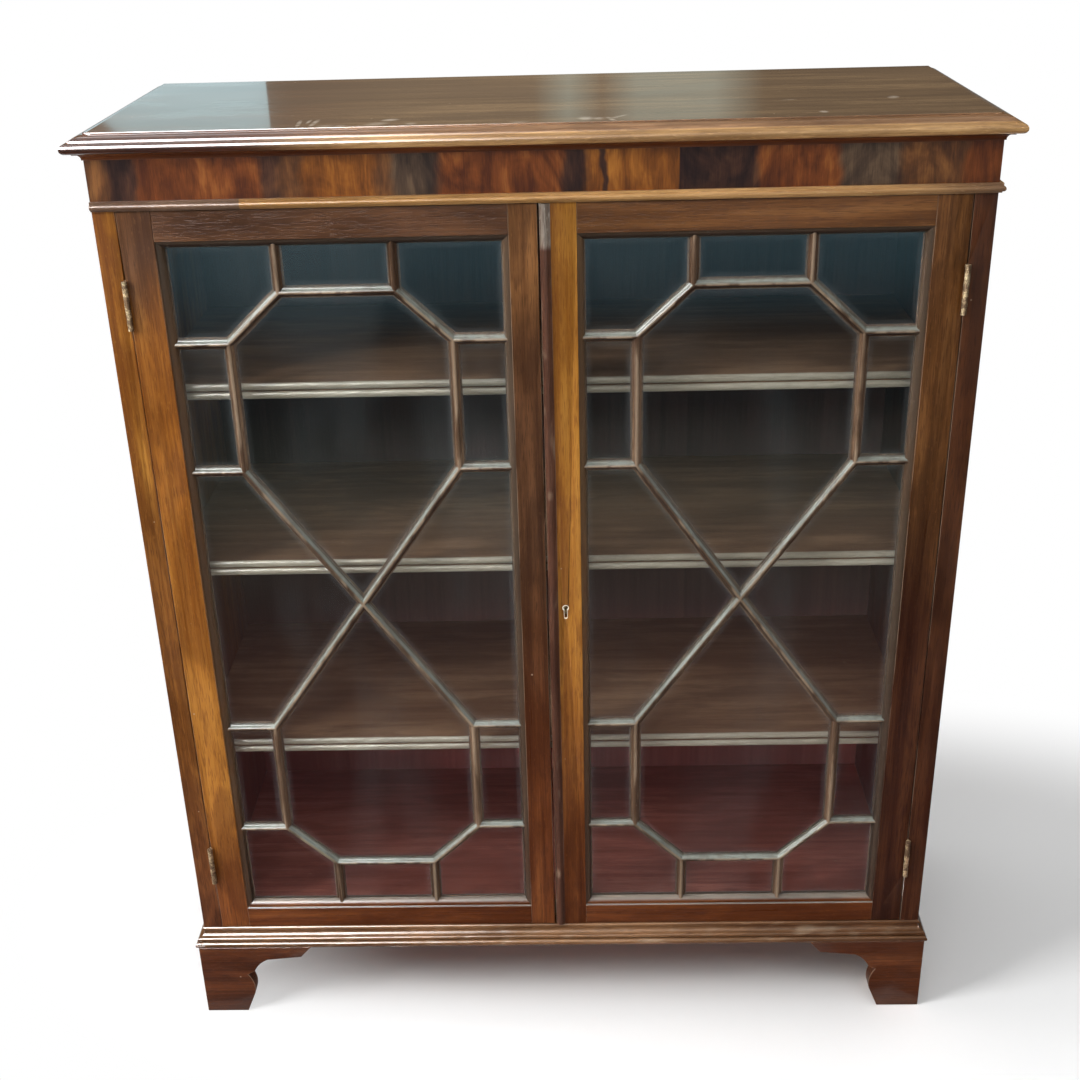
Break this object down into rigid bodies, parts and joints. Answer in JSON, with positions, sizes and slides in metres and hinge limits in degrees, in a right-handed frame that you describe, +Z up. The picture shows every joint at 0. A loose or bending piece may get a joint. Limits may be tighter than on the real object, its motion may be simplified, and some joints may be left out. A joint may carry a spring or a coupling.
{
  "type": "glazed bookcase",
  "caption": "Low mahogany bookcase on bracket feet with a moulded top, loose shelves and a pair of lockable doors glazed in tall octagon and saltire tracery.",
  "frame": {"origin": "on the floor under the middle of the overall box", "axes": "+X to the right seen from the front, +Y from the doors to the back, +Z up"},
  "size_m": [1.107, 0.4074, 1.3205],
  "materials": {
    "mahogany": "french polished",
    "polished_top": "french polished, high gloss",
    "crossbanded_veneer": "cross-grained figured veneer, polished",
    "door_mahogany": "french polished",
    "moulded_mahogany": "french polished, rubbed on the crowns",
    "foot_mahogany": "polished",
    "shelf_mahogany": "waxed",
    "pine": "stained, unpolished",
    "beech": "plain turned",
    "glass": "clear",
    "putty": "stained putty",
    "hinge_brass": "aged",
    "screw_brass": "aged",
    "lock_brass": "aged"
  },
  "bodies": {
    "carcase": {"back_boards": "pine", "base_moulding_front": "moulded_mahogany", "base_moulding_left": "moulded_mahogany", "base_moulding_right": "moulded_mahogany", "bed_moulding_front": "moulded_mahogany", "bed_moulding_returns": "moulded_mahogany", "bracket_front_left": "foot_mahogany", "bracket_front_right": "foot_mahogany", "bracket_rear_left": "foot_mahogany", "bracket_rear_right": "foot_mahogany", "bracket_side_left": "foot_mahogany", "bracket_side_right": "foot_mahogany", "door_stop": "pine", "floor_board": "shelf_mahogany", "foot_blocks": "pine", "frieze_bead_front": "moulded_mahogany", "frieze_bead_returns": "moulded_mahogany", "frieze_rail": "pine", "frieze_veneer": "crossbanded_veneer", "gable_left": "mahogany", "gable_right": "mahogany", "hinge_case_leaves": "hinge_brass", "hinge_case_screws": "screw_brass", "hinge_pins": "hinge_brass", "plinth_rails": "pine", "rear_braces": "pine", "shelf_lower": "shelf_mahogany", "shelf_middle": "shelf_mahogany", "shelf_pegs": "beech", "shelf_upper": "shelf_mahogany", "subtop": "pine", "top_board": "polished_top"},
    "left_door": {"left_bolt_plates": "lock_brass", "left_bottom_rail": "door_mahogany", "left_glass": "glass", "left_glazing_bars": "door_mahogany", "left_hanging_stile": "door_mahogany", "left_hinge_leaves": "hinge_brass", "left_hinge_screws": "screw_brass", "left_meeting_stile": "door_mahogany", "left_putty": "putty", "left_top_rail": "door_mahogany"},
    "right_door": {"closing_bead": "moulded_mahogany", "escutcheon": "lock_brass", "lock_case": "lock_brass", "right_bottom_rail": "door_mahogany", "right_glass": "glass", "right_glazing_bars": "door_mahogany", "right_hanging_stile": "door_mahogany", "right_hinge_leaves": "hinge_brass", "right_hinge_screws": "screw_brass", "right_meeting_stile": "door_mahogany", "right_putty": "putty", "right_top_rail": "door_mahogany"},
    "lock_bolt": {"lock_bolt": "lock_brass"},
    "left_top_bolt": {"left_top_bolt": "lock_brass"},
    "left_bottom_bolt": {"left_bottom_bolt": "lock_brass"}
  },
  "joints": [
    {"name": "left_door_hinge", "type": "hinge", "parent": "carcase", "child": "left_door", "pos_m": [-0.5055, -0.18725, 0.7], "axis": [0, 0, -1], "range_deg": [0, 175]},
    {"name": "right_door_hinge", "type": "hinge", "parent": "carcase", "child": "right_door", "pos_m": [0.5055, -0.18725, 0.7], "axis": [0, 0, 1], "range_deg": [0, 175]},
    {"name": "lock_throw", "type": "slide", "parent": "right_door", "child": "lock_bolt", "axis": [-1, 0, 0], "range_m": [0, 0.009]},
    {"name": "top_bolt_slide", "type": "slide", "parent": "left_door", "child": "left_top_bolt", "axis": [0, 0, 1], "range_m": [0, 0.01]},
    {"name": "bottom_bolt_slide", "type": "slide", "parent": "left_door", "child": "left_bottom_bolt", "axis": [0, 0, -1], "range_m": [0, 0.01]}
  ]
}
